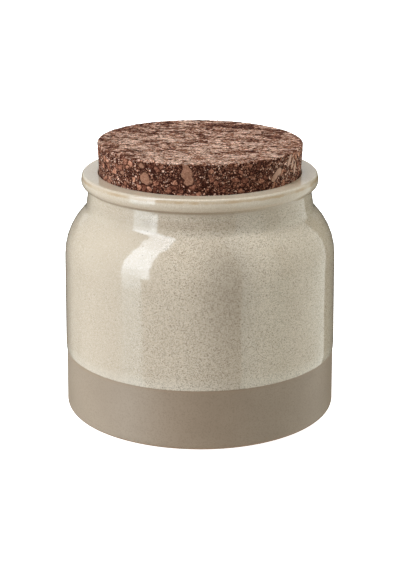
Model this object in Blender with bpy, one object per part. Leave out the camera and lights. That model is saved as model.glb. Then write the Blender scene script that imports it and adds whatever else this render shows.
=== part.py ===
# Ceramic storage jar with an agglomerated cork stopper.
# Metres, +Z up, origin at the centre of the foot on the surface it stands on.

import math

import bmesh
import bpy
from mathutils import Matrix, Vector

MM = 0.001

# Outer sizes of the jar, in millimetres, as radius and height
RIM_TOP_Z = 105.4
RIM_EDGE_R = 51.23
BEAD_R = 51.48
BEAD_Z = 99.4
GROOVE_R = 48.72
GROOVE_Z = 99.16
COLLAR_TOP_R = 48.23
COLLAR_TOP_Z = 97.59
COLLAR_R = 49.52
COLLAR_Z = 89.94
SHOULDER_SLOPE = 47.14
SHOULDER_ROUND = 27.75
WALL_TOP_R = 58.9
GLAZE_R = 59.7
GLAZE_Z = 26.6
GLAZE_STEP = 0.35
GLAZE_LIP = 2.2
FOOT_R = 59.7
FOOT_ROUND = 2.0

# Mouth that takes the stopper. The jar is shut, so its body is solid below the mouth
MOUTH_R = 44.1
MOUTH_ROUND = 0.9
MOUTH_FLOOR_R = 43.4
MOUTH_FLOOR_Z = 89.8

# Underside: a foot ring round a shallow recess
FOOT_RING = 7.0
RECESS = 1.2

# Cork stopper: a cone frustum that tapers downwards
CORK_TOP_Z = 118.6
CORK_TOP_R = 44.2
CORK_HEIGHT = 28.0
CORK_TAPER = 3.0
CORK_ROUND = 0.8
CORK_LEAN = 0.5
CORK_SHIFT_X = 0.15

# Fineness: facets round the axis, and the largest turn (degrees) and chord of an outline's arc
SEGMENTS = 72
ARC_STEP = 24.0
ARC_CHORD = 3.2


def rounded_outline(corners):
    """Turn corners (radius, height, fillet) into points, with an arc in each filleted corner."""
    points = []
    last = len(corners) - 1
    for i, (r, z, fillet) in enumerate(corners):
        corner = Vector((r, z))
        if fillet <= 0.0 or i in (0, last):
            points.append(corner)
            continue
        back = (Vector(corners[i - 1][:2]) - corner).normalized()
        ahead = (Vector(corners[i + 1][:2]) - corner).normalized()
        half = back.angle(ahead) / 2.0
        centre = corner + (back + ahead).normalized() * fillet / math.sin(half)
        start = corner + back * fillet / math.tan(half) - centre
        end = corner + ahead * fillet / math.tan(half) - centre
        turn = start.angle_signed(end)
        count = max(2, math.ceil(abs(math.degrees(turn)) / ARC_STEP), round(abs(turn) * fillet / ARC_CHORD))
        for k in range(count + 1):
            a = -turn * k / count
            x = start.x * math.cos(a) - start.y * math.sin(a)
            y = start.x * math.sin(a) + start.y * math.cos(a)
            points.append(centre + Vector((x, y)))
    return points


def jar_outline():
    """Half section of the jar, from the mouth's floor over the rim to the underside's centre."""
    slope = math.tan(math.radians(SHOULDER_SLOPE))
    wall_top_z = COLLAR_Z - (WALL_TOP_R - COLLAR_R) * slope
    ring_inner_r = FOOT_R - FOOT_RING
    return rounded_outline([
        (0.0, MOUTH_FLOOR_Z, 0.0),
        (MOUTH_FLOOR_R, MOUTH_FLOOR_Z, 0.0),
        (MOUTH_R, RIM_TOP_Z, MOUTH_ROUND),
        (RIM_EDGE_R, RIM_TOP_Z, 0.7),
        (BEAD_R, BEAD_Z, 2.7),
        (GROOVE_R, GROOVE_Z, 0.25),
        (COLLAR_TOP_R, COLLAR_TOP_Z, 0.3),
        (COLLAR_R, COLLAR_Z, 3.3),
        (WALL_TOP_R, wall_top_z, SHOULDER_ROUND),
        (GLAZE_R, GLAZE_Z + GLAZE_LIP, 0.0),
        (GLAZE_R - GLAZE_STEP / 2.0, GLAZE_Z, 0.0),
        (GLAZE_R - GLAZE_STEP, GLAZE_Z - GLAZE_STEP / 2.0, 0.0),
        (FOOT_R, 0.0, FOOT_ROUND),
        (ring_inner_r, 0.0, 0.0),
        (ring_inner_r - RECESS, RECESS, 0.0),
        (0.0, RECESS, 0.0),
    ])


def principled(name, colour, roughness, metallic=0.0, coat=0.0):
    """A plain Principled material."""
    material = bpy.data.materials.new(name)
    material.use_nodes = True
    shader = material.node_tree.nodes["Principled BSDF"]
    shader.inputs["Base Color"].default_value = (*colour, 1.0)
    shader.inputs["Roughness"].default_value = roughness
    shader.inputs["Metallic"].default_value = metallic
    shader.inputs["Coat Weight"].default_value = coat
    material.diffuse_color = (*colour, 1.0)
    return material


def add_object(name, bm, material, sharp=40.0):
    """Store a bmesh as a named object, shaded smooth with its edges kept crisp."""
    mesh = bpy.data.meshes.new(name)
    bmesh.ops.recalc_face_normals(bm, faces=bm.faces)
    bm.to_mesh(mesh)
    bm.free()
    mesh.shade_smooth()
    mesh.set_sharp_from_angle(angle=math.radians(sharp))
    mesh.materials.append(material)
    obj = bpy.data.objects.new(name, mesh)
    bpy.context.scene.collection.objects.link(obj)
    return obj


def make_jar(material):
    """The jar: one half section spun about Z."""
    bm = bmesh.new()
    verts = [bm.verts.new((p.x * MM, 0.0, p.y * MM)) for p in jar_outline()]
    edges = [bm.edges.new(pair) for pair in zip(verts, verts[1:])]
    bmesh.ops.spin(bm, geom=verts + edges, cent=(0.0, 0.0, 0.0), axis=(0.0, 0.0, 1.0),
                   angle=math.tau, steps=SEGMENTS, use_duplicate=False)
    bmesh.ops.remove_doubles(bm, verts=bm.verts, dist=0.00001)
    return add_object("jar", bm, material)


def make_cork(material):
    """The stopper: a tapered plug with rounded edges that rests in the mouth."""
    bm = bmesh.new()
    bottom_r = CORK_TOP_R - CORK_HEIGHT * math.tan(math.radians(CORK_TAPER))
    bmesh.ops.create_cone(bm, cap_ends=True, segments=SEGMENTS, radius1=bottom_r * MM,
                          radius2=CORK_TOP_R * MM, depth=CORK_HEIGHT * MM,
                          matrix=Matrix.Translation((0.0, 0.0, -CORK_HEIGHT * MM / 2.0)))
    cork = add_object("cork", bm, material)
    cork.location = (CORK_SHIFT_X * MM, 0.0, CORK_TOP_Z * MM)
    cork.rotation_euler = (0.0, math.radians(CORK_LEAN), 0.0)
    bevel = cork.modifiers.new("edge_round", "BEVEL")
    bevel.width = CORK_ROUND * MM
    bevel.segments = 3
    bevel.limit_method = "ANGLE"
    bevel.angle_limit = math.radians(40.0)
    return cork


def main():
    for obj in list(bpy.data.objects):
        bpy.data.objects.remove(obj, do_unlink=True)
    make_jar(principled("glazed_stoneware", (0.56, 0.50, 0.39), 0.25, coat=0.5))
    make_cork(principled("cork_agglomerate", (0.16, 0.08, 0.055), 0.85))


main()
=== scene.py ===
import math

import bpy
from bpy.props import FloatProperty, FloatVectorProperty, IntProperty, PointerProperty
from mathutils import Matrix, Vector


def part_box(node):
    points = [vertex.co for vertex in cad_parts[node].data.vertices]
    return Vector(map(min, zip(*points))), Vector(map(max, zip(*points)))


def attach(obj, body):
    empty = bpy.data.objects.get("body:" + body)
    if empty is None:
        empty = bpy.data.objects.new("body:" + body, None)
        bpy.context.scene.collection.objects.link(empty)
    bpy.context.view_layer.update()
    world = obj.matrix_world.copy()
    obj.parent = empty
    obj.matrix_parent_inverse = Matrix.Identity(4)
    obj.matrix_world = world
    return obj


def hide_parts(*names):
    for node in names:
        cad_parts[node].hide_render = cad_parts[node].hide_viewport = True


bl_info = {
    "name": "Stoneware storage jar",
    "version": (1, 0, 0),
    "blender": (4, 5, 0),
    "location": "3D View > Sidebar > Jar",
    "description": "Turns a glazed stoneware jar with a pressed-cork stopper and sets up its studio",
    "category": "Object",
}

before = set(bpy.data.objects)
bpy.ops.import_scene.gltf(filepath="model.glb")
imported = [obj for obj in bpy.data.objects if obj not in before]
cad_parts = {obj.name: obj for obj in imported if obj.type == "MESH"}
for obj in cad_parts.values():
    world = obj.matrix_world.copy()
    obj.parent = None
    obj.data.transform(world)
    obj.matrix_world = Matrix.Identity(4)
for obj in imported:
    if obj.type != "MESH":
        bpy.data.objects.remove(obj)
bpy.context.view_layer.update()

MM = 0.001
DEGREES = 180.0 / math.pi

JAR_LOW, JAR_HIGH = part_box("jar")
JAR_RADIUS = (JAR_HIGH.x - JAR_LOW.x) / 2.0
RIM_HEIGHT = JAR_HIGH.z


def length(name, text, default):
    """A length property in metres."""
    return FloatProperty(name=name, description=text, default=default, unit="LENGTH", precision=5)


def angle(name, text, degrees):
    """An angle property."""
    return FloatProperty(name=name, description=text, default=math.radians(degrees),
                         unit="ROTATION")


def colour(name, text, default):
    """A linear colour property."""
    return FloatVectorProperty(name=name, description=text, default=default, subtype="COLOR",
                               min=0.0, max=1.0)


class JarSizes(bpy.types.PropertyGroup):
    """Radii and heights of the turned jar."""
    rim_z: length("Rim height", "Height of the rim's flat top", RIM_HEIGHT)
    crease_r: length("Crease radius", "Radius of the crease round the rim's flat top",
                     JAR_RADIUS - 0.0095)
    bead_top_r: length("Bead top radius", "Radius of the bead's upper corner", JAR_RADIUS - 0.0089)
    bead_r: length("Bead radius", "Largest radius of the bead", JAR_RADIUS - 0.00812)
    bead_top_z: length("Bead top", "Height of the bead's upper corner", RIM_HEIGHT - 0.00055)
    bead_low_z: length("Bead turn", "Height where the bead starts to turn in", RIM_HEIGHT - 0.0042)
    tuck_r: length("Tuck radius", "Radius of the bead's lower corner", JAR_RADIUS - 0.0097)
    tuck_z: length("Tuck height", "Height of the bead's lower corner", RIM_HEIGHT - 0.0057)
    groove_r: length("Groove radius", "Radius at the bottom of the groove", JAR_RADIUS - 0.0111)
    groove_z: length("Groove height", "Height of the groove under the bead", RIM_HEIGHT - 0.0059)
    collar_top_r: length("Collar top radius", "Collar's radius under the groove",
                         JAR_RADIUS - 0.01147)
    collar_top_z: length("Collar top height", "Height of the collar's top", RIM_HEIGHT - 0.0069)
    collar_r: length("Collar foot radius", "Radius where the collar meets the shoulder",
                     JAR_RADIUS - 0.01018)
    collar_z: length("Collar foot height", "Height where the collar meets the shoulder",
                     RIM_HEIGHT - 0.01546)
    shoulder_slope: angle("Shoulder slope", "Slope of the shoulder below the collar", 47.14)
    shoulder_round: length("Shoulder rounding", "Radius of the rounded shoulder", 0.02775)
    wall_top_r: length("Wall radius", "Radius at the top of the wall", JAR_RADIUS - 0.0008)
    glaze_r: length("Glaze radius", "Radius at the glaze's lower edge", JAR_RADIUS)
    glaze_z: length("Glaze height", "Height of the glaze's lower edge", 0.0266)
    glaze_step: length("Glaze thickness", "How far the glaze's edge stands proud", 0.00035)
    glaze_lip: length("Glaze lip", "Height of the rounded lip of the glaze", 0.0026)
    foot_r: length("Foot radius", "Radius of the clay band at the foot", JAR_RADIUS)
    foot_round: length("Foot rounding", "Radius of the foot's rounded edge", 0.0020)
    foot_ring: length("Foot ring", "Width of the ring that the jar stands on", 0.0070)
    recess: length("Recess", "Depth of the recess inside the foot ring", 0.0012)
    mouth_r: length("Mouth radius", "Radius of the mouth at the rim", 0.0438)
    mouth_round: length("Mouth rounding", "Radius of the mouth's rounded edge", 0.0006)
    mouth_floor_r: length("Seat radius", "Radius of the mouth under the stopper", 0.0434)
    mouth_floor_z: length("Seat height", "Height of the solid under the stopper", 0.0898)
    turns: IntProperty(name="Facets", description="Facets round the axis", default=288, min=24)
    ring_gap: length("Ring spacing", "Largest distance between rings on the wall", 0.0016)
    wobble: length("Wobble", "How far the hand-turned surface strays", 0.00012)
    wobble_size: length("Wobble size", "Size of the hand-turned waves", 0.035)
    bead_round: length("Bead rounding", "Rounding of the bead's widest part", 0.0030)
    soft_round: length("Soft rounding", "Rounding of the bead's upper and lower corner", 0.0012)
    collar_round: length("Collar rounding", "Rounding where the collar meets the shoulder", 0.0033)
    lip_round: length("Lip rounding", "Rounding above the glaze's lip", 0.0040)
    lip_edge: length("Lip edge", "Rounding and height of the lip's lower edge", 0.0002)
    seam_round: length("Seam rounding", "Rounding where the glaze meets the clay", 0.00008)
    edge_round: length("Edge rounding", "Rounding of the crease and the collar's top", 0.0003)
    groove_round: length("Groove rounding", "Rounding at the bottom of the groove", 0.00025)
    ring_round: length("Ring rounding", "Rounding of the foot ring's inner edges", 0.0005)
    seat_round: length("Seat rounding", "Rounding at the edge of the seat", 0.0006)


class JarColours(bpy.types.PropertyGroup):
    """Linear colours of the glaze and of the bare clay."""
    glaze: colour("Glaze", "Main colour of the glaze", (0.610, 0.512, 0.392))
    pale: colour("Thick glaze", "Colour where the glaze gathers", (0.700, 0.625, 0.510))
    warm: colour("Warm glaze", "Brownish patches in the glaze", (0.540, 0.440, 0.325))
    # Painted shade: the colour that the wall's front is darkened towards
    front_shade: colour("Dusky glaze", "Darker glaze on the front", (0.420, 0.350, 0.268))
    speck: colour("Speck", "Iron specks in the glaze", (0.110, 0.070, 0.040))
    ochre: colour("Ochre", "Glaze breaking thin along edges", (0.500, 0.350, 0.205))
    # Also painted shade in the groove, in the collar's hollow and on the clay under the glaze's lip
    brown: colour("Brown", "Glaze in the groove and under the collar", (0.330, 0.235, 0.155))
    clay: colour("Clay", "Bare clay of the foot band", (0.324, 0.246, 0.175))
    clay_dark: colour("Dark clay", "Darker clay patches", (0.235, 0.172, 0.118))


class CorkSizes(bpy.types.PropertyGroup):
    """Sizes of the stopper."""
    top_z: length("Top height", "Height of the stopper's top", 0.1186)
    top_r: length("Top radius", "Radius at the top", 0.0442)
    height: length("Height", "Height of the whole plug", 0.0280)
    taper: angle("Taper", "Taper of the side", 3.0)
    edge_round: length("Edge rounding", "Radius of the rounded edges", 0.0004)
    lean: angle("Lean", "How far the stopper leans towards +X", 0.5)
    shift_x: length("Shift", "How far the stopper sits towards +X", 0.00015)
    grain: length("Mesh grain", "Size of the relief mesh's faces", 0.00050)
    coarse: length("Coarse granules", "Size of the coarse granules", 0.0025)
    fine: length("Fine granules", "Size of the fine granules", 0.0010)
    relief: length("Relief", "Depth between the granules", 0.00060)
    turns: IntProperty(name="Facets", description="Facets round the axis", default=192, min=24)


class CorkColours(bpy.types.PropertyGroup):
    """Linear colours of the pressed cork."""
    gap: colour("Gap", "Between the granules", (0.030, 0.007, 0.004))
    dark: colour("Dark granule", "Darkest granules", (0.110, 0.034, 0.020))
    mid: colour("Middle granule", "Common granules", (0.290, 0.118, 0.074))
    light: colour("Light granule", "Light granules", (0.600, 0.280, 0.172))
    pale: colour("Pale granule", "Palest granules", (1.000, 0.680, 0.525))
    chip: colour("Chip", "Large pale chips", (0.450, 0.228, 0.143))


class StageSettings(bpy.types.PropertyGroup):
    """Camera and light."""
    lens: FloatProperty(name="Lens", description="Focal length", default=90.26, unit="CAMERA")
    distance: length("Distance", "Camera's distance in front of the jar's axis", 0.60282)
    height: length("Height", "Camera's height", 0.24998)
    side: length("Side", "Camera's offset to the side", 0.00006)
    pitch: angle("Pitch", "How far the camera looks down", 18.083)
    room: FloatProperty(name="Room", description="Brightness of the dark room", default=0.03,
                        min=0.0)


class Value:
    """A number in a shader. Arithmetic on it adds Math nodes."""

    def __init__(self, shader, socket):
        self.shader = shader
        self.socket = socket

    def math(self, operation, *others):
        """The result of one Math node on this value and others."""
        node = self.shader.node("ShaderNodeMath", {"operation": operation},
                                dict(enumerate((self, *others))))
        return Value(self.shader, node.outputs[0])

    def __add__(self, other):
        return self.math("ADD", other)

    __radd__ = __add__

    def __sub__(self, other):
        return self.math("SUBTRACT", other)

    def __rsub__(self, other):
        return (self * -1.0) + other

    def __mul__(self, other):
        return self.math("MULTIPLY", other)

    __rmul__ = __mul__

    def __truediv__(self, other):
        return self.math("DIVIDE", other)

    def smooth(self, low, high):
        """0 below low, 1 above high, smooth between. low may be above high."""
        settings = {"interpolation_type": "SMOOTHSTEP"}
        ends = (0.0, 1.0) if low < high else (1.0, 0.0)
        node = self.shader.node("ShaderNodeMapRange", settings, {
            "Value": self, "From Min": min(low, high), "From Max": max(low, high),
            "To Min": ends[0], "To Max": ends[1]})
        return Value(self.shader, node.outputs["Result"])

    def span(self, start, full, hold, end):
        """0 up to start, 1 from full to hold, 0 again from end."""
        return self.smooth(start, full) * self.smooth(end, hold)

    def near(self, centre, inner, outer):
        """1 within inner of centre, 0 beyond outer."""
        return (self - centre).math("ABSOLUTE").smooth(outer, inner)


class Shader:
    """Builds the node tree of one material or world."""

    def __init__(self, owner):
        owner.use_nodes = True
        self.owner = owner
        self.tree = owner.node_tree
        self.tree.nodes.clear()

    def node(self, kind, settings=None, inputs=None):
        """Add a node, set its settings, then its sockets from values or links."""
        node = self.tree.nodes.new(kind)
        for key, setting in (settings or {}).items():
            setattr(node, key, setting)
        for key, given in (inputs or {}).items():
            socket = node.inputs[key]
            if isinstance(given, Value):
                given = given.socket
            if isinstance(given, bpy.types.NodeSocket):
                self.tree.links.new(given, socket)
            elif socket.type == "RGBA":
                socket.default_value = (*given[:3], 1.0)
            else:
                socket.default_value = given
        return node

    def split(self, vector):
        """The three values of a vector."""
        parts = self.node("ShaderNodeSeparateXYZ", inputs={0: vector})
        return [Value(self, parts.outputs[i]) for i in range(3)]

    def noise(self, vector, scale, detail=2.0, roughness=0.5):
        """Noise from 0 to 1; scale is in waves per metre."""
        node = self.node("ShaderNodeTexNoise", inputs={
            "Vector": vector, "Scale": scale, "Detail": detail, "Roughness": roughness})
        return Value(self, node.outputs["Fac"])

    def cells(self, vector, scale, feature="F1"):
        """Voronoi distance and a random number for each cell."""
        node = self.node("ShaderNodeTexVoronoi", {"feature": feature},
                         {"Vector": vector, "Scale": scale})
        if feature == "DISTANCE_TO_EDGE":
            return Value(self, node.outputs["Distance"])
        parts = self.node("ShaderNodeSeparateColor", inputs={0: node.outputs["Color"]})
        randoms = [Value(self, parts.outputs[i]) for i in range(3)]
        return Value(self, node.outputs["Distance"]), *randoms

    def warp(self, vector, scale, amount):
        """Coordinates pushed about by noise."""
        noise = self.node("ShaderNodeTexNoise", inputs={
            "Vector": vector, "Scale": scale, "Detail": 2.0})
        centred = self.node("ShaderNodeVectorMath", {"operation": "SUBTRACT"},
                            {0: noise.outputs["Color"], 1: (0.5, 0.5, 0.5)})
        pushed = self.node("ShaderNodeVectorMath", {"operation": "MULTIPLY_ADD"},
                           {0: centred.outputs[0], 1: (amount, amount, amount), 2: vector})
        return pushed.outputs[0]

    def mix(self, factor, first, second):
        """Colour that goes from first to second."""
        node = self.node("ShaderNodeMix", {"data_type": "RGBA"}, {0: factor, 6: first, 7: second})
        return node.outputs[2]

    def ramp(self, value, stops):
        """Colour ramp through (position, colour) stops."""
        node = self.node("ShaderNodeValToRGB", inputs={0: value})
        elements = node.color_ramp.elements
        while len(elements) < len(stops):
            elements.new(0.5)
        for element, (position, tint) in zip(elements, stops):
            element.position = position
            element.color = (*tint[:3], 1.0)
        return node.outputs["Color"]

    def bump(self, height, distance, strength=1.0):
        """Normal from a height."""
        node = self.node("ShaderNodeBump", inputs={
            "Height": height, "Distance": distance, "Strength": strength})
        return node.outputs["Normal"]

    def finish(self, surface, output="ShaderNodeOutputMaterial"):
        """Link the surface to the output and return the owner."""
        self.node(output, inputs={"Surface": surface})
        return self.owner


def degrees_round(x, y):
    """Degrees round the Z axis: 0 towards the camera, + to the right."""
    return x.math("ARCTAN2", y * -1.0) * DEGREES


class Spot:
    """A point of a piece in Object coordinates, with its radius and its turn round the axis."""

    def __init__(self, shader):
        self.here = shader.node("ShaderNodeTexCoord").outputs["Object"]
        self.x, self.y, self.z = shader.split(self.here)
        self.radius = (self.x * self.x + self.y * self.y).math("SQRT")
        self.turn = degrees_round(self.x, self.y)


# Grain of the stoneware, in waves or cells per metre
SALT_GRAIN = 3800.0
PEPPER_GRAIN = 2600.0
FINE_SPECKS = 1250.0
WIDE_SPECKS = 520.0
MOTTLING = 75.0
MILKINESS = 700.0
RIM_WANDER = 260.0
RIM_PATCHES = 130.0
SLOW_WAVES = 28.0
RIPPLES = 240.0
CLAY_GRAIN = 1500.0
CLAY_DUST = 2300.0
CLAY_SMUDGES = 40.0

# Where the finish, the painted shade and the painted highlight change round the jar, in degrees (0 at
# the front, + to the right), and up it, in metres: start, full, full until, end
# Painted shade on the front of the wall
FRONT_SHADE_ROUND = (-8.0, 12.0, 13.0, 28.0)
# Thin glaze and painted shade in the hollow under the collar
HOLLOW_SHADE_ROUND = (-34.0, -24.0, 14.0, 26.0)
GRITTY_ROUND = (-25.0, 0.0, 15.0, 40.0)
# Painted highlight: where the highlight strip washes out the grit on the left shoulder
HIGHLIGHT_ROUND = (-62.0, -50.0, -22.0, -12.0)
HIGHLIGHT_UP = (0.068, 0.076, 0.092, 0.096)

# The grit's mean, kept where its contrast is turned down
GRIT_MEAN = 0.26


def glaze_grit(s, here):
    """Pale salt, dark grit of salt and pepper, and a few larger iron specks."""
    salt = s.cells(here, SALT_GRAIN)[1]
    pepper = s.cells(here, PEPPER_GRAIN)[1]
    grit = salt.smooth(0.50, 0.05) * 0.60 + pepper.smooth(0.30, 0.05) * 0.55
    fine_gap, fine_pick, fine_size, _ = s.cells(here, FINE_SPECKS)
    fine = fine_gap.smooth(0.36, 0.18) * fine_pick.smooth(0.74, 0.78) * (fine_size * 0.35 + 0.15)
    wide_gap, wide_pick, wide_size, _ = s.cells(here, WIDE_SPECKS)
    wide = wide_gap.smooth(0.20, 0.11) * wide_pick.smooth(0.86, 0.88) * (wide_size * 0.35 + 0.30)
    return salt, grit, fine.math("MAXIMUM", wide)


def mottled_glaze(s, sizes, tints, spot, salt):
    """The wall's glaze: soft mottling, pale where it gathers, and painted shade darkening the front.
    """
    clouds = s.noise(spot.here, MOTTLING, 3.0, 0.55)
    milk = s.noise(spot.here, MILKINESS, 3.0, 0.6)
    glaze = s.mix(clouds.smooth(0.40, 0.75) * 0.45, tints.glaze, tints.warm)
    glaze = s.mix(milk.smooth(0.50, 0.75) * 0.12, glaze, tints.pale)
    glaze = s.mix(salt.smooth(0.60, 1.0) * 0.70, glaze, tints.pale)

    # It gathers along the lower lip and, a little, on the shoulder below the collar
    lip = spot.z.smooth(sizes.glaze_z + 0.0062, sizes.glaze_z + 0.0010)
    pool = spot.z.span(sizes.collar_z - 0.0080, sizes.collar_z - 0.0040,
                       sizes.collar_z - 0.0005, sizes.collar_z + 0.0015)
    glaze = s.mix(lip * 0.70 + pool * 0.04, glaze, tints.pale)
    # Painted shade: the wall darkens at the front, less low down and not at all near the top
    front_shade = spot.turn.span(*FRONT_SHADE_ROUND) * (spot.z.smooth(0.035, 0.070) * 0.45 + 0.55)
    return s.mix(front_shade * spot.z.smooth(0.096, 0.078) * 0.72, glaze, tints.front_shade)


def stained_glaze(s, sizes, tints, spot, glaze):
    """The glaze with ochre along the rim's crease, and brown in the groove and the collar's hollow:
    partly thin glaze, partly painted shade.
    """
    wander = (s.noise(spot.here, RIM_WANDER, 2.0) - 0.5) * 0.0012
    patches = s.noise(spot.here, RIM_PATCHES, 2.0).smooth(0.35, 0.65) * 0.65 + 0.35
    crease = (spot.z + wander * 0.6).near(sizes.rim_z - 0.0013, 0.0002, 0.0009)
    crease = crease * spot.radius.smooth(sizes.crease_r, sizes.crease_r + 0.0006)
    glaze = s.mix(crease * patches * 0.80, glaze, tints.ochre)

    # Brown in the groove and the collar's hollow: partly thin glaze, partly painted shade. It is
    # weaker to the right in the groove and strongest at the front in the hollow
    groove = spot.z.near(sizes.groove_z - 0.0003, 0.0003, 0.0011) * spot.radius.smooth(0.0530, 0.0500)
    glaze = s.mix(groove * (spot.turn.smooth(30.0, 0.0) * 0.35 + 0.25), glaze, tints.brown)
    hollow = (spot.z + wander).span(sizes.collar_z + 0.0014, sizes.collar_z + 0.0028,
                                    sizes.collar_z + 0.0048, sizes.collar_z + 0.0068)
    return s.mix(hollow * (spot.turn.span(*HOLLOW_SHADE_ROUND) * 0.22 + 0.10), glaze, tints.brown)


def glazed_surface(s, sizes, tints, spot):
    """Glossy glaze. Its grit is strongest at the front and faint on the rim. On the left, and most on
    the left shoulder, its contrast is turned down as painted highlight.
    """
    salt, grit, specks = glaze_grit(s, spot.here)
    glaze = mottled_glaze(s, sizes, tints, spot, salt)
    glaze = stained_glaze(s, sizes, tints, spot, glaze)

    rim = spot.z.smooth(sizes.rim_z - 0.0090, sizes.rim_z - 0.0068)
    # Painted highlight: the grit's contrast drops on the left shoulder under the highlight strip and,
    # less, all down the left
    highlight_calm = spot.z.span(*HIGHLIGHT_UP) * spot.turn.span(*HIGHLIGHT_ROUND)
    front = spot.turn.smooth(-31.0, -21.0) * 0.50 + spot.turn.span(*GRITTY_ROUND) * 0.25
    contrast = (1.0 - rim * 0.8) * (front + 0.36) * (1.0 - highlight_calm * 0.8)
    grit = (grit - GRIT_MEAN) * contrast + GRIT_MEAN * (1.0 - rim * 0.4)
    glaze = s.mix(grit * 0.58, glaze, tints.speck)
    glaze = s.mix(specks * (1.0 - rim * 0.5) * 0.60, glaze, tints.speck)

    waves = s.noise(spot.here, SLOW_WAVES, 2.0) * 0.5 + s.noise(spot.here, RIPPLES, 2.0) * 0.03
    glazed = s.node("ShaderNodeBsdfPrincipled", inputs={
        "Base Color": glaze, "Roughness": 0.07, "IOR": 1.5, "Normal": s.bump(waves, 0.0006)})
    return glazed.outputs[0]


def clay_surface(s, sizes, tints, spot):
    """Matt bare clay with fine grain, darker clouds, a painted sheen towards the left and a brown
    painted shadow under the glaze's lip.
    """
    grain = s.noise(spot.here, CLAY_GRAIN, 3.0, 0.6)
    dust = s.cells(spot.here, CLAY_DUST)[1]
    smudge = s.noise(spot.here, CLAY_SMUDGES, 2.0, 0.5)
    rough = grain.smooth(0.50, 0.72) * 0.35 + dust.smooth(0.5, 0.0) * 0.50
    clay = s.mix(smudge.smooth(0.35, 0.70) * 0.35, tints.clay, tints.clay_dark)
    clay = s.mix(rough, clay, tints.clay_dark)
    # Painted sheen: the clay is paler towards the left
    clay = s.mix(spot.turn.smooth(-6.0, -34.0) * 0.10, clay, tints.pale)
    # Painted shadow: a brown band on the clay just under the glaze's lip
    under = spot.z.smooth(sizes.glaze_z - 0.0022, sizes.glaze_z - 0.0002)
    clay = s.mix(under * 0.45, clay, tints.brown)
    bare = s.node("ShaderNodeBsdfPrincipled", inputs={
        "Base Color": clay, "Roughness": 0.46, "IOR": 1.45, "Normal": s.bump(grain, 0.00004)})
    return bare.outputs[0]


def stoneware_material(sizes, tints):
    """Speckled beige glaze above the glaze line, bare taupe clay below it."""
    s = Shader(bpy.data.materials.new("stoneware"))
    spot = Spot(s)
    glazed = glazed_surface(s, sizes, tints, spot)
    bare = clay_surface(s, sizes, tints, spot)

    # The glaze ends on a slightly ragged line
    ragged = spot.z + (s.noise(spot.here, MILKINESS, 3.0, 0.6) - 0.5) * 0.0006
    mask = ragged.smooth(sizes.glaze_z - 0.00012, sizes.glaze_z + 0.00012)
    both = s.node("ShaderNodeMixShader", inputs={0: mask, 1: bare, 2: glazed})
    return s.finish(both.outputs[0])


# Pale chips on the stopper's front: degrees round from the front, height, half width and half
# height in millimetres, twist in degrees
CHIPS = [
    (-30.5, 110.9, 2.9, 2.2, -30.0),
    (-32.5, 115.9, 1.3, 1.4, -10.0),
    (-47.0, 111.5, 1.2, 0.9, 10.0),
    (-6.5, 113.4, 2.3, 4.4, 12.0),
    (46.5, 111.0, 4.2, 1.5, 38.0),
    (57.5, 115.0, 1.1, 2.9, -25.0),
    (61.5, 113.5, 0.9, 2.6, -15.0),
    (65.0, 110.5, 1.1, 2.6, -8.0),
]

# Grain of the cork, in waves or cells per metre
CORK_DUST = 2300.0
CORK_SPECKLE = 2600.0
CHIP_FRAYING = 420.0
PATCHES = 230.0
FLAKES = 430.0
STREAKS = 1100.0

# How far noise tears the granules' borders: waves per metre, then metres
COARSE_TEAR = (330.0, 0.0016)
FINE_TEAR = (1300.0, 0.0006)
TOP_TEAR = (160.0, 0.0040)


def cork_granules(s, sizes, torn, dust):
    """Tone and gaps of the mixed granules, then the tone and border distance of the fine ones."""
    fine_tone = s.cells(torn, 1.0 / sizes.fine)[1]
    fine_edge = s.cells(torn, 1.0 / sizes.fine, "DISTANCE_TO_EDGE")
    _, pick, coarse_tone, _ = s.cells(torn, 1.0 / sizes.coarse)
    coarse_edge = s.cells(torn, 1.0 / sizes.coarse, "DISTANCE_TO_EDGE")
    large = pick.smooth(0.62, 0.64)
    small = 1.0 - large
    rich = coarse_tone * 0.34 + fine_tone * 0.15 + dust * 0.36 + 0.07
    tone = (fine_tone * 0.50 + dust * 0.85 - 0.19) * small + rich * large
    gaps = fine_edge.smooth(0.19, 0.04) * small + coarse_edge.smooth(0.13, 0.02) * large
    return tone, gaps, fine_tone, fine_edge


def sanded_top(s, spot, torn, fine_tone, fine_edge):
    """Tone and gaps of the sanded top: streaky flakes, with painted light making it paler towards the
    front and the middle.
    """
    wide = s.node("ShaderNodeVectorMath", {"operation": "MULTIPLY"},
                  {0: s.warp(torn, *TOP_TEAR), 1: (0.6, 1.0, 1.0)}).outputs[0]
    patch = s.cells(wide, PATCHES)[1]
    flake = s.cells(wide, FLAKES)[1]
    flake_edge = s.cells(wide, FLAKES, "DISTANCE_TO_EDGE")
    streak = s.noise(wide, STREAKS, 3.0, 0.65)
    tone = patch * 0.62 + flake * 0.72 + fine_tone * 0.56 + streak * 2.40 - 1.34
    # Painted light: paler towards the front and the middle
    tone = tone - spot.y * 2.8 - spot.x.math("ABSOLUTE") * 2.4
    gaps = flake_edge.smooth(0.11, 0.02).math("MAXIMUM", fine_edge.smooth(0.17, 0.04) * 0.7)
    return tone, gaps * 0.85


def chip_masks(s, sizes, spot):
    """Masks of the pale chips and of the dark rings round them."""
    frayed = (s.noise(spot.here, CHIP_FRAYING, 3.0) - 0.5) * 2.4
    mm_per_degree = math.radians(sizes.top_r / MM)
    nearest = None
    for turn, height, half_w, half_h, twist in CHIPS:
        across = (spot.turn - turn) * mm_per_degree
        up = spot.z / MM - height
        c, d = math.cos(math.radians(twist)), math.sin(math.radians(twist))
        u = (across * c + up * d) / half_w
        v = (up * c - across * d) / half_h
        reach = (u * u).math("POWER", 0.85) + (v * v).math("POWER", 0.85) + frayed
        nearest = reach if nearest is None else nearest.math("MINIMUM", reach)
    return nearest.smooth(1.15, 0.95), nearest.near(1.25, 0.10, 0.35)


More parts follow.
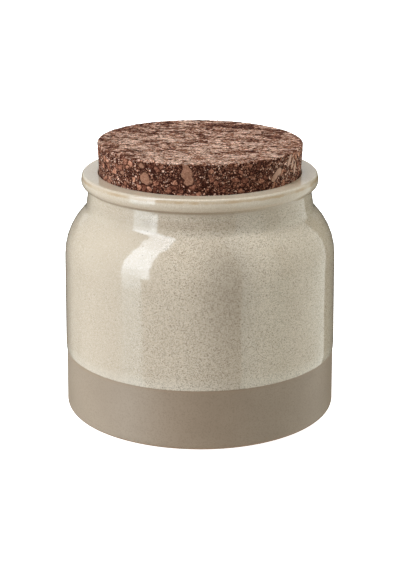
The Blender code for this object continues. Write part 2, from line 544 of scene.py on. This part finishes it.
def cork_material(sizes, tints):
    """Pressed cork granules of mixed brown, with large pale chips and a sanded top."""
    s = Shader(bpy.data.materials.new("pressed_cork"))
    spot = Spot(s)
    torn = s.warp(s.warp(spot.here, *COARSE_TEAR), *FINE_TEAR)
    dust = s.cells(torn, CORK_DUST)[1]
    speckle = s.noise(spot.here, CORK_SPECKLE, 3.0, 0.65)
    side_tone, side_gaps, fine_tone, fine_edge = cork_granules(s, sizes, torn, dust)
    top_tone, top_gaps = sanded_top(s, spot, torn, fine_tone, fine_edge)
    chips, rings = chip_masks(s, sizes, spot)

    # The side gets a painted sheen that makes it paler towards its left and right ends, and the chips
    # lie on it alone
    side = spot.z.smooth(sizes.top_z - 0.0002, sizes.top_z - 0.0012)
    top = 1.0 - side
    chips = chips * side
    # Painted sheen towards both ends of the side
    right_sheen = spot.turn.smooth(34.4, 54.4)
    ends = spot.turn.smooth(-20.1, -51.6) * 0.10 + right_sheen * 0.20
    tone = (side_tone + ends - 0.03) * side + top_tone * top + (speckle - 0.5) * 0.45
    gaps = (side_gaps * side + top_gaps * top) * (1.0 - chips)
    gaps = gaps.math("MAXIMUM", rings * side * 0.8)

    base = s.ramp(tone, [(0.08, tints.gap), (0.30, tints.dark), (0.54, tints.mid),
                         (0.80, tints.light), (1.0, tints.pale)])
    chip_tint = s.mix(speckle.smooth(0.40, 0.65) * 0.25 + dust * 0.45, tints.chip, tints.dark)
    # Painted sheen: the chips are paler towards the right end
    chip_tint = s.mix(right_sheen * 0.45, chip_tint, tints.pale)
    base = s.mix(chips, base, chip_tint)
    base = s.mix(gaps * 0.95, base, tints.gap)
    cork = s.node("ShaderNodeBsdfPrincipled", inputs={
        "Base Color": base, "Roughness": 0.70, "IOR": 1.35, "Specular IOR Level": 0.08,
        "Normal": s.bump(tone * 0.5 - gaps, 0.00040, 0.8)})
    return s.finish(cork.outputs[0])


def plain_material(name, tint, emission, roughness=0.9):
    """Even colour that also glows."""
    s = Shader(bpy.data.materials.new(name))
    flat = s.node("ShaderNodeBsdfPrincipled", inputs={
        "Base Color": tint, "Roughness": roughness, "Emission Color": tint,
        "Emission Strength": emission})
    return s.finish(flat.outputs[0])


def studio_world(room):
    """Soft boxes painted round a dark room, with a white backdrop for the camera alone."""
    s = Shader(bpy.data.worlds.new("studio_world"))
    x, y, z = s.split(s.node("ShaderNodeTexCoord").outputs["Generated"])
    turn = degrees_round(x, y)
    lift = z.math("ARCSINE") * DEGREES
    light = (room, room, room)
    for around, upward, radiance in SOFT_BOXES:
        box = turn.span(*around) * lift.span(*upward)
        light = s.node("ShaderNodeVectorMath", {"operation": "MULTIPLY_ADD"},
                       {0: box, 1: radiance, 2: light}).outputs[0]
    glow = s.node("ShaderNodeBackground", inputs={"Color": light})
    backdrop = s.node("ShaderNodeBackground", inputs={"Color": (1.0, 1.0, 1.0)})
    seen = s.node("ShaderNodeLightPath").outputs["Is Camera Ray"]
    chosen = s.node("ShaderNodeMixShader", inputs={
        0: seen, 1: glow.outputs[0], 2: backdrop.outputs[0]})
    return s.finish(chosen.outputs[0], "ShaderNodeOutputWorld")


def rounded_outline(corners, step=9.0):
    """Turn corners (radius, height, fillet) into points, with an arc in each filleted corner."""
    points = []
    last = len(corners) - 1
    for i, (r, z, fillet) in enumerate(corners):
        corner = Vector((r, z))
        if fillet <= 0.0 or i in (0, last):
            points.append(corner)
            continue
        back = (Vector(corners[i - 1][:2]) - corner).normalized()
        ahead = (Vector(corners[i + 1][:2]) - corner).normalized()
        half = back.angle(ahead) / 2.0
        centre = corner + (back + ahead).normalized() * fillet / math.sin(half)
        start = corner + back * fillet / math.tan(half) - centre
        end = corner + ahead * fillet / math.tan(half) - centre
        turn = start.angle_signed(end)
        count = max(2, math.ceil(abs(math.degrees(turn)) / step))
        for k in range(count + 1):
            a = -turn * k / count
            x = start.x * math.cos(a) - start.y * math.sin(a)
            y = start.x * math.sin(a) + start.y * math.cos(a)
            points.append(centre + Vector((x, y)))
    return points


def spaced(points, gap):
    """Add points so that no two neighbours are more than gap apart."""
    out = [points[0]]
    for a, b in zip(points, points[1:]):
        count = max(1, math.ceil((b - a).length / gap))
        out += [a.lerp(b, k / count) for k in range(1, count + 1)]
    return out


def start_clean():
    """Leave edit mode and deselect everything."""
    if bpy.context.object and bpy.context.object.mode != "OBJECT":
        bpy.ops.object.mode_set(mode="OBJECT")
    bpy.ops.object.select_all(action="DESELECT")


# Points nearer than this are merged, in metres
WELD = 0.00001


def turn_on_wheel(name, outline, steps):
    """Spin an outline about Z into a closed piece."""
    start_clean()
    bpy.ops.mesh.primitive_circle_add(vertices=3, radius=MM, location=(0.0, 0.0, 0.0))
    piece = bpy.context.object
    piece.name = name
    piece.data.name = name
    bpy.ops.object.mode_set(mode="EDIT")
    bpy.ops.mesh.select_all(action="SELECT")
    bpy.ops.mesh.merge(type="CENTER")
    bpy.ops.mesh.select_all(action="SELECT")
    bpy.ops.transform.translate(value=(outline[0].x, 0.0, outline[0].y))
    for a, b in zip(outline, outline[1:]):
        step = (b.x - a.x, 0.0, b.y - a.y)
        bpy.ops.mesh.extrude_region_move(TRANSFORM_OT_translate={"value": step})
    bpy.ops.mesh.select_all(action="SELECT")
    bpy.ops.mesh.spin(steps=steps, angle=math.tau, center=(0.0, 0.0, 0.0), axis=(0.0, 0.0, 1.0))
    bpy.ops.mesh.select_all(action="SELECT")
    bpy.ops.mesh.remove_doubles(threshold=WELD)
    bpy.ops.mesh.normals_make_consistent(inside=False)
    bpy.ops.object.mode_set(mode="OBJECT")
    return piece


def displace(piece, name, kind, size, strength, middle=0.5, **settings):
    """Move the surface along its normals by a texture and apply it."""
    texture = bpy.data.textures.new(name, kind)
    texture.noise_scale = size
    for key, setting in settings.items():
        setattr(texture, key, setting)
    modifier = piece.modifiers.new(name, "DISPLACE")
    modifier.texture = texture
    modifier.texture_coords = "LOCAL"
    modifier.strength = strength
    modifier.mid_level = middle
    bpy.ops.object.modifier_apply(modifier=name)


def give_material(piece, material):
    """Make it the piece's only material."""
    piece.data.materials.clear()
    piece.data.materials.append(material)


# Edges that turn more than this are drawn sharp
SHARP_EDGE = math.radians(50.0)


class JAR_OT_body(bpy.types.Operator):
    """Turn the stoneware jar"""
    bl_idname = "jar.body"
    bl_label = "Jar"

    def execute(self, context):
        sizes = context.scene.jar_sizes
        slope = math.tan(sizes.shoulder_slope)
        wall_top_z = sizes.collar_z - (sizes.wall_top_r - sizes.collar_r) * slope
        ring_inner = sizes.foot_r - sizes.foot_ring
        lip_r = sizes.glaze_r - sizes.glaze_step * 0.35
        clay_r = sizes.glaze_r - sizes.glaze_step

        # Corners as radius, height and rounding, from the seat over the rim to the underside
        outline = rounded_outline([
            (0.0, sizes.mouth_floor_z, 0.0),
            (sizes.mouth_floor_r, sizes.mouth_floor_z, sizes.seat_round),
            (sizes.mouth_r, sizes.rim_z, sizes.mouth_round),
            (sizes.crease_r, sizes.rim_z, sizes.edge_round),
            (sizes.bead_top_r, sizes.bead_top_z, sizes.soft_round),
            (sizes.bead_r, sizes.bead_low_z, sizes.bead_round),
            (sizes.tuck_r, sizes.tuck_z, sizes.soft_round),
            (sizes.groove_r, sizes.groove_z, sizes.groove_round),
            (sizes.collar_top_r, sizes.collar_top_z, sizes.edge_round),
            (sizes.collar_r, sizes.collar_z, sizes.collar_round),
            (sizes.wall_top_r, wall_top_z, sizes.shoulder_round),
            (sizes.glaze_r, sizes.glaze_z + sizes.glaze_lip, sizes.lip_round),
            (lip_r, sizes.glaze_z + sizes.lip_edge, sizes.lip_edge),
            (clay_r, sizes.glaze_z, sizes.seam_round),
            (sizes.foot_r, 0.0, sizes.foot_round),
            (ring_inner, 0.0, sizes.ring_round),
            (ring_inner - sizes.recess, sizes.recess, sizes.ring_round),
            (0.0, sizes.recess, 0.0),
        ])
        jar = turn_on_wheel("jar_body", spaced(outline, sizes.ring_gap), sizes.turns)
        displace(jar, "hand_wobble", "CLOUDS", sizes.wobble_size, sizes.wobble, noise_depth=1)
        bpy.ops.object.shade_smooth_by_angle(angle=SHARP_EDGE)
        give_material(jar, stoneware_material(sizes, context.scene.jar_colours))
        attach(jar, "root")
        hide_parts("jar")
        return {"FINISHED"}


# The fine granules' share of the relief, and the relief's level that stays in place
FINE_SHARE = 0.7
RELIEF_LEVEL = 0.16


class JAR_OT_stopper(bpy.types.Operator):
    """Shape the pressed-cork stopper"""
    bl_idname = "jar.stopper"
    bl_label = "Stopper"

    def execute(self, context):
        sizes = context.scene.cork_sizes
        bottom_r = sizes.top_r - sizes.height * math.tan(sizes.taper)
        outline = rounded_outline([
            (0.0, 0.0, 0.0),
            (sizes.top_r, 0.0, sizes.edge_round),
            (bottom_r, -sizes.height, sizes.edge_round),
            (0.0, -sizes.height, 0.0),
        ], step=20.0)
        cork = turn_on_wheel("cork_stopper", outline, sizes.turns)
        remesh = cork.modifiers.new("even_mesh", "REMESH")
        remesh.mode = "VOXEL"
        remesh.voxel_size = sizes.grain
        bpy.ops.object.modifier_apply(modifier="even_mesh")
        for name, size, depth in (("coarse_granules", sizes.coarse, sizes.relief),
                                  ("fine_granules", sizes.fine, sizes.relief * FINE_SHARE)):
            displace(cork, name, "VORONOI", size, depth, RELIEF_LEVEL,
                     weight_1=-1.0, weight_2=1.0, distance_metric="DISTANCE")
        bpy.ops.object.shade_smooth()
        cork.rotation_euler = (0.0, sizes.lean, 0.0)
        cork.location = (sizes.shift_x, 0.0, sizes.top_z)
        bpy.ops.object.transform_apply(location=True, rotation=True, scale=True)
        give_material(cork, cork_material(sizes, context.scene.cork_colours))
        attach(cork, "root")
        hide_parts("cork")
        return {"FINISHED"}


# Soft boxes as seen from the jar, in degrees round it (0 towards the camera, + to the right) and
# in degrees up: where each starts, is full, stays full until, ends; then its red, green and blue
SOFT_BOXES = [
    ((-148, -134, -75, -73), (-50, -40, 40, 50), (0.44, 0.44, 0.40)),
    ((-128, -108, -75, -73), (-50, -40, 40, 50), (0.42, 0.40, 0.36)),
    ((-75, -73, -69, -67), (-50, -40, 40, 50), (0.90, 0.95, 0.90)),
    ((-69, -67, -50, -48), (-48, -40, -4, 18), (1.15, 1.40, 1.45)),
    ((-69, -67, -50, -48), (-19, -10, -4, 18), (2.20, 2.50, 2.70)),
    ((-50, -48, -43, -41), (-2, 0, 1, 14), (4.80, 5.40, 5.70)),
    ((-70, -68, -44, -42), (-4, 18, 44, 48), (6.90, 7.70, 8.60)),
    ((-73, -71, -41, -39), (44, 48, 70, 78), (5.20, 5.70, 6.40)),
    ((-48, -44, 0, 10), (-20, -10, 40, 60), (0.20, 0.10, 0.05)),
    ((-42, -38, 25, 34), (38, 46, 70, 78), (0.20, 0.16, 0.13)),
    ((-75, -60, 60, 80), (72, 75, 84, 88), (4.00, 3.80, 3.40)),
    ((34, 36, 70, 90), (-48, -40, -12, -6), (1.05, 1.24, 1.19)),
    ((70, 90, 130, 132), (-48, -40, -12, -6), (1.25, 1.32, 1.28)),
    ((34, 36, 62, 84), (-12, -6, 30, 40), (1.00, 1.10, 1.09)),
    ((70, 90, 130, 132), (-12, -6, 30, 40), (1.10, 1.14, 1.12)),
    ((34, 36, 125, 138), (30, 40, 70, 78), (1.08, 1.17, 1.14)),
    ((140, 160, 190, 200), (3, 8, 34, 44), (0.66, 0.70, 0.72)),
    ((-200, -190, -150, -135), (3, 8, 34, 44), (0.78, 0.82, 0.82)),
    ((-200, -190, 190, 200), (70, 78, 100, 110), (1.25, 1.03, 0.73)),
    ((-200, -190, 190, 200), (-110, -100, -48, -42), (0.95, 0.72, 0.56)),
]

# The floor's radius and how far it lies under the foot, the camera's nearest sight, in metres,
# and the film's width in millimetres
FLOOR_RADIUS = 12.0
FLOOR_DROP = 0.0002
NEAREST_SIGHT = 0.01
FILM_WIDTH = 36.0


class JAR_OT_stage(bpy.types.Operator):
    """Set up the floor, the lit room and the camera"""
    bl_idname = "jar.stage"
    bl_label = "Stage"

    def execute(self, context):
        scene = context.scene
        settings = scene.stage_settings
        scene.view_settings.view_transform = "Standard"

        start_clean()
        bpy.ops.mesh.primitive_circle_add(vertices=96, radius=FLOOR_RADIUS, fill_type="NGON",
                                          location=(0.0, 0.0, -FLOOR_DROP))
        floor = context.object
        floor.name = "studio_floor"
        give_material(floor, plain_material("floor_white", (1.0, 1.0, 1.0), 1.0))
        floor.visible_glossy = False
        floor.visible_diffuse = False
        floor.visible_shadow = False

        scene.world = studio_world(settings.room)

        start_clean()
        place = (settings.side, -settings.distance, settings.height)
        turned = (math.pi / 2.0 - settings.pitch, 0.0, 0.0)
        bpy.ops.object.camera_add(location=place, rotation=turned)
        camera = context.object
        camera.name = "studio_camera"
        camera.data.lens = settings.lens
        camera.data.sensor_width = FILM_WIDTH
        camera.data.sensor_fit = "AUTO"
        camera.data.clip_start = NEAREST_SIGHT
        scene.camera = camera
        return {"FINISHED"}


class JAR_PT_sidebar(bpy.types.Panel):
    """Sizes, colours and steps of the jar"""
    bl_idname = "JAR_PT_sidebar"
    bl_label = "Storage jar"
    bl_space_type = "VIEW_3D"
    bl_region_type = "UI"
    bl_category = "Jar"

    def draw(self, context):
        layout = self.layout
        for step in STEPS:
            layout.operator(step.bl_idname)
        for attribute, group in GROUPS.items():
            box = layout.box()
            box.label(text=group.__doc__)
            settings = getattr(context.scene, attribute)
            for key in group.__annotations__:
                box.prop(settings, key)


GROUPS = {
    "jar_sizes": JarSizes,
    "jar_colours": JarColours,
    "cork_sizes": CorkSizes,
    "cork_colours": CorkColours,
    "stage_settings": StageSettings,
}
STEPS = (JAR_OT_body, JAR_OT_stopper, JAR_OT_stage)


def register():
    """Add the classes and the scene's settings."""
    for group in (*GROUPS.values(), *STEPS, JAR_PT_sidebar):
        bpy.utils.register_class(group)
    for attribute, group in GROUPS.items():
        setattr(bpy.types.Scene, attribute, PointerProperty(type=group))


def unregister():
    """Remove what register added."""
    for attribute in GROUPS:
        delattr(bpy.types.Scene, attribute)
    for group in reversed((*GROUPS.values(), *STEPS, JAR_PT_sidebar)):
        bpy.utils.unregister_class(group)


def main():
    """Make every piece and set up the stage."""
    register()
    bpy.ops.jar.body()
    bpy.ops.jar.stopper()
    bpy.ops.jar.stage()


if __name__ == "__main__":
    main()
